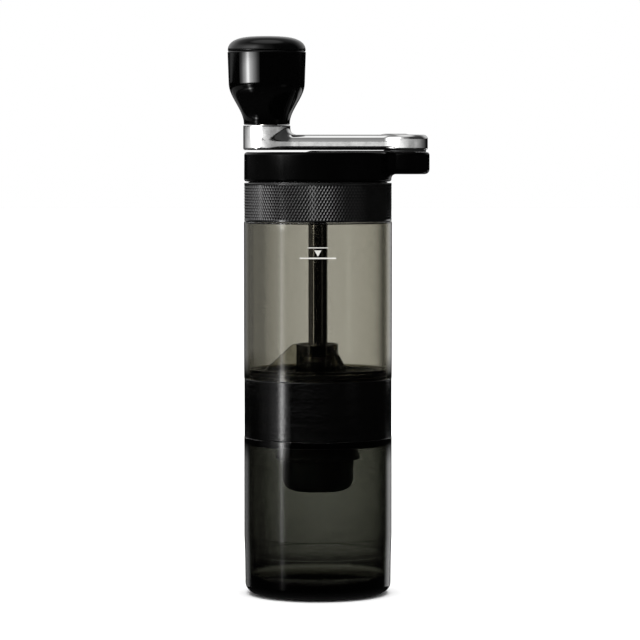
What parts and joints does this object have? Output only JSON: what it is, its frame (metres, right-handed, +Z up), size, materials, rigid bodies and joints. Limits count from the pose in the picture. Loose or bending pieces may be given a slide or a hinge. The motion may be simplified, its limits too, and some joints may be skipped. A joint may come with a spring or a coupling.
{
  "type": "hand crank coffee grinder",
  "caption": "Tall cylindrical hand coffee grinder: folding crank with a turning knob, clear bean hopper, conical burrs in a metal band, twist-off grounds jar.",
  "frame": {"origin": "centre of the resting face of the foot pad, on the burr axis", "axes": "+Z up along the burr axis, +X towards the crank's pivot tab, +Y to the back when the tab is seen on the right"},
  "size_m": [0.0791, 0.058, 0.2184],
  "materials": {
    "smoked_jar": "dark smoked clear plastic, glossy",
    "smoked_hopper": "smoked clear plastic, glossy",
    "smoked_hub": "smoked clear plastic, glossy",
    "black_silicone": "matt moulded silicone",
    "grey_silicone": "matt translucent silicone",
    "black_nylon": "fine satin moulded nylon",
    "black_dial": "satin moulded plastic",
    "black_anodised": "black metal, turned, with fine rings round it",
    "knurled_black": "black metal with a fine diamond knurl",
    "black_gloss": "gloss black, smooth",
    "knob_gloss": "high-gloss black moulded plastic",
    "polished_chrome": "bright polished plate",
    "shaft_steel": "ground steel",
    "burr_steel": "cut and ground tool steel",
    "bearing_steel": "lapped bearing steel",
    "spring_steel": "drawn spring steel",
    "steel_fastener": "plain zinc-plated steel",
    "dark_washer": "dark plastic washer",
    "brass": "machined brass",
    "white_acetal": "natural acetal"
  },
  "bodies": {
    "jar": {"grounds_jar": "smoked_jar", "foot_pad": "black_silicone"},
    "jar_ring": {"jar_gasket": "grey_silicone"},
    "grinder": {"burr_housing": "black_nylon", "band_sleeve": "black_anodised", "bean_hopper": "smoked_hopper", "hopper_seal": "black_silicone", "bearing_spider": "smoked_hub", "spider_screws": "steel_fastener", "outer_burr": "burr_steel", "burr_screws": "steel_fastener", "bearing_outer_rings": "bearing_steel", "bearing_spacer": "steel_fastener"},
    "bearing_train": {"bearing_balls": "bearing_steel", "bearing_cages": "brass"},
    "drive": {"drive_shaft": "shaft_steel", "bearing_inner_rings": "bearing_steel", "shaft_clip": "spring_steel", "thrust_washer": "steel_fastener", "burr_spring": "spring_steel"},
    "burr": {"inner_burr": "burr_steel", "burr_carrier": "black_nylon", "carrier_screws": "steel_fastener", "detent_ring": "steel_fastener"},
    "dial": {"adjust_dial": "black_dial", "dial_nut": "brass", "detent_balls": "bearing_steel", "detent_springs": "spring_steel"},
    "lid": {"lid_ring": "knurled_black", "lid_seal": "grey_silicone", "lid_bush": "white_acetal"},
    "head": {"crank_head": "black_gloss", "drive_hub": "steel_fastener", "hub_screws": "steel_fastener", "hub_clip": "spring_steel", "pivot_bush": "white_acetal"},
    "arm": {"crank_arm": "polished_chrome", "pivot_washer": "dark_washer", "pivot_pin": "shaft_steel", "pivot_retainer": "steel_fastener", "pivot_screw": "steel_fastener", "knob_axle": "shaft_steel", "axle_washer": "steel_fastener", "axle_screw": "steel_fastener"},
    "knob": {"knob_body": "knob_gloss", "knob_cap": "knob_gloss", "knob_bushes": "white_acetal"}
  },
  "joints": [
    {"name": "jar_lift", "type": "slide", "parent": "jar", "child": "jar_ring", "axis": [0, 0, 1], "range_m": [0, 0.036]},
    {"name": "jar_twist", "type": "hinge", "parent": "jar_ring", "child": "grinder", "pos_m": [0, 0, 0.0662], "axis": [0, 0, 1], "range_deg": [0, 1080]},
    {"name": "ball_orbit", "type": "hinge", "parent": "grinder", "child": "bearing_train", "pos_m": [0, 0, 0.0924], "axis": [0, 0, 1], "continuous": true},
    {"name": "drive_spin", "type": "hinge", "parent": "grinder", "child": "drive", "pos_m": [0, 0, 0.0924], "axis": [0, 0, 1], "continuous": true},
    {"name": "burr_shift", "type": "slide", "parent": "drive", "child": "burr", "axis": [0, 0, 1], "range_m": [-0.0015, 0.001], "deforming": ["burr_spring"]},
    {"name": "grind_dial", "type": "hinge", "parent": "burr", "child": "dial", "pos_m": [0, 0, 0.048], "axis": [0, 0, 1], "range_deg": [-540, 360]},
    {"name": "lid_lift", "type": "slide", "parent": "grinder", "child": "lid", "axis": [0, 0, 1], "range_m": [0, 0.04]},
    {"name": "crank_spin", "type": "hinge", "parent": "lid", "child": "head", "pos_m": [0, 0, 0.1555], "axis": [0, 0, 1], "continuous": true},
    {"name": "arm_fold", "type": "hinge", "parent": "head", "child": "arm", "pos_m": [0.034, 0, 0.1705], "axis": [0, 0, 1], "range_deg": [0, 180]},
    {"name": "knob_spin", "type": "hinge", "parent": "arm", "child": "knob", "pos_m": [-0.02, 0, 0.195], "axis": [0, 0, 1], "continuous": true}
  ],
  "couplings": [
    {"joint": "jar_lift", "follows": "jar_twist", "m_per_rad": 0.0019099},
    {"joint": "drive_spin", "follows": "crank_spin", "ratio": 1},
    {"joint": "ball_orbit", "follows": "crank_spin", "ratio": 0.4122},
    {"joint": "grind_dial", "follows": "burr_shift", "rad_per_m": 6283.2}
  ]
}
